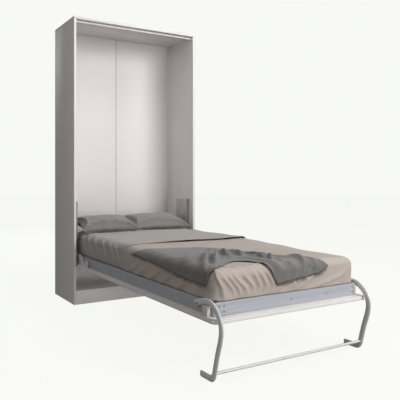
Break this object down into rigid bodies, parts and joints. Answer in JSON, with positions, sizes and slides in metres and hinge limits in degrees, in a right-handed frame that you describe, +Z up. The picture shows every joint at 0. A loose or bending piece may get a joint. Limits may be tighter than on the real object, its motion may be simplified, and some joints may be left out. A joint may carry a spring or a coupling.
{
  "type": "vertical wall bed",
  "caption": "Tall shallow wall cabinet with a single bed that folds down on side pivots, a swing-out leg frame at its foot, lifting struts inside, and mattress and bedding in place.",
  "frame": {"origin": "middle of the plinth board's underside, on the floor", "axes": "+X across the width, to the right when facing the cabinet; +Y back towards the wall; +Z up. The bed is folded down and points along -Y."},
  "size_m": [1.064, 2.2812, 2.1502],
  "materials": {
    "cabinet_board": "white melamine on particle board, fine satin",
    "front_board": "white lacquered board, satin",
    "frame_steel": "blue-grey powder coat on sheet steel",
    "white_steel": "warm white powder coat",
    "plated_steel": "plated sheet steel, satin",
    "zinc": "zinc plated, turned",
    "black_tube": "black enamel, semi-gloss",
    "beech": "bare laminated beech",
    "block_white": "moulded nylon, off-white",
    "ticking": "quilted white ticking",
    "sheet_grey": "plain-woven cotton, warm grey",
    "duvet_taupe": "washed cotton over light filling, taupe",
    "throw_grey": "woven wool blend, mid grey, fringed",
    "pillow_grey": "brushed cotton, grey"
  },
  "bodies": {
    "cabinet": {"side_panel_left": "cabinet_board", "side_panel_right": "cabinet_board", "top_panel": "cabinet_board", "plinth_board": "cabinet_board", "top_stop_strip": "cabinet_board", "back_panel_left": "cabinet_board", "back_panel_right": "cabinet_board", "lower_fixing_rail": "cabinet_board", "upper_fixing_rail": "cabinet_board", "back_batten": "cabinet_board", "pivot_plate_left": "plated_steel", "pivot_plate_right": "plated_steel", "pivot_pin_left": "zinc", "pivot_pin_right": "zinc", "housing_cover_left": "plated_steel", "housing_cover_right": "plated_steel", "strut_anchor_pin_left": "zinc", "strut_anchor_pin_right": "zinc"},
    "bed": {"front_panel": "front_board", "deck_panel": "front_board", "side_rail_left": "frame_steel", "side_rail_right": "frame_steel", "foot_rail": "frame_steel", "head_rail": "frame_steel", "corner_plate_left": "frame_steel", "corner_plate_right": "frame_steel", "hinge_bracket_left": "white_steel", "hinge_bracket_right": "white_steel", "strut_pin_left": "zinc", "strut_pin_right": "zinc", "hinge_block_left": "block_white", "hinge_block_right": "block_white", "leg_stop_block_left": "block_white", "leg_stop_block_right": "block_white", "slat_1": "beech", "slat_2": "beech", "slat_3": "beech", "slat_4": "beech", "slat_5": "beech", "slat_6": "beech", "slat_7": "beech", "slat_8": "beech", "slat_9": "beech", "mattress": "ticking", "duvet": "duvet_taupe", "bed_sheet": "sheet_grey", "throw_blanket": "throw_grey", "pillow_left": "pillow_grey", "pillow_right": "pillow_grey", "leg_pivot_bolt_left": "zinc", "leg_pivot_bolt_right": "zinc"},
    "leg_frame": {"leg_left": "white_steel", "leg_right": "white_steel", "leg_crossbar": "white_steel"},
    "strut_tube_left": {"strut_tube_left": "black_tube"},
    "strut_rod_left": {"strut_rod_left": "zinc"},
    "strut_tube_right": {"strut_tube_right": "black_tube"},
    "strut_rod_right": {"strut_rod_right": "zinc"}
  },
  "joints": [
    {"name": "bed_fold", "type": "hinge", "parent": "cabinet", "child": "bed", "pos_m": [0, 0.023, 0.308], "axis": [1, 0, 0], "range_deg": [-90, 0]},
    {"name": "leg_fold", "type": "hinge", "parent": "bed", "child": "leg_frame", "pos_m": [0, -1.632, 0.344], "axis": [1, 0, 0], "range_deg": [-190, 0]},
    {"name": "strut_swing_left", "type": "hinge", "parent": "cabinet", "child": "strut_tube_left", "pos_m": [-0.499, 0.129, 0.713], "axis": [1, 0, 0], "range_deg": [-12, 0]},
    {"name": "rod_slide_left", "type": "slide", "parent": "strut_tube_left", "child": "strut_rod_left", "axis": [0, 0.0472, -0.9989], "range_m": [0, 0.156]},
    {"name": "strut_swing_right", "type": "hinge", "parent": "cabinet", "child": "strut_tube_right", "pos_m": [0.499, 0.129, 0.713], "axis": [1, 0, 0], "range_deg": [-12, 0]},
    {"name": "rod_slide_right", "type": "slide", "parent": "strut_tube_right", "child": "strut_rod_right", "axis": [0, 0.0472, -0.9989], "range_m": [0, 0.156]}
  ],
  "couplings": [
    {"joint": "leg_fold", "follows": "bed_fold", "ratio": 2.05},
    {"joint": "strut_swing_left", "follows": "bed_fold", "ratio": 0.12796},
    {"joint": "rod_slide_left", "follows": "bed_fold", "m_per_rad": -0.09797},
    {"joint": "strut_swing_right", "follows": "bed_fold", "ratio": 0.12796},
    {"joint": "rod_slide_right", "follows": "bed_fold", "m_per_rad": -0.09797}
  ]
}
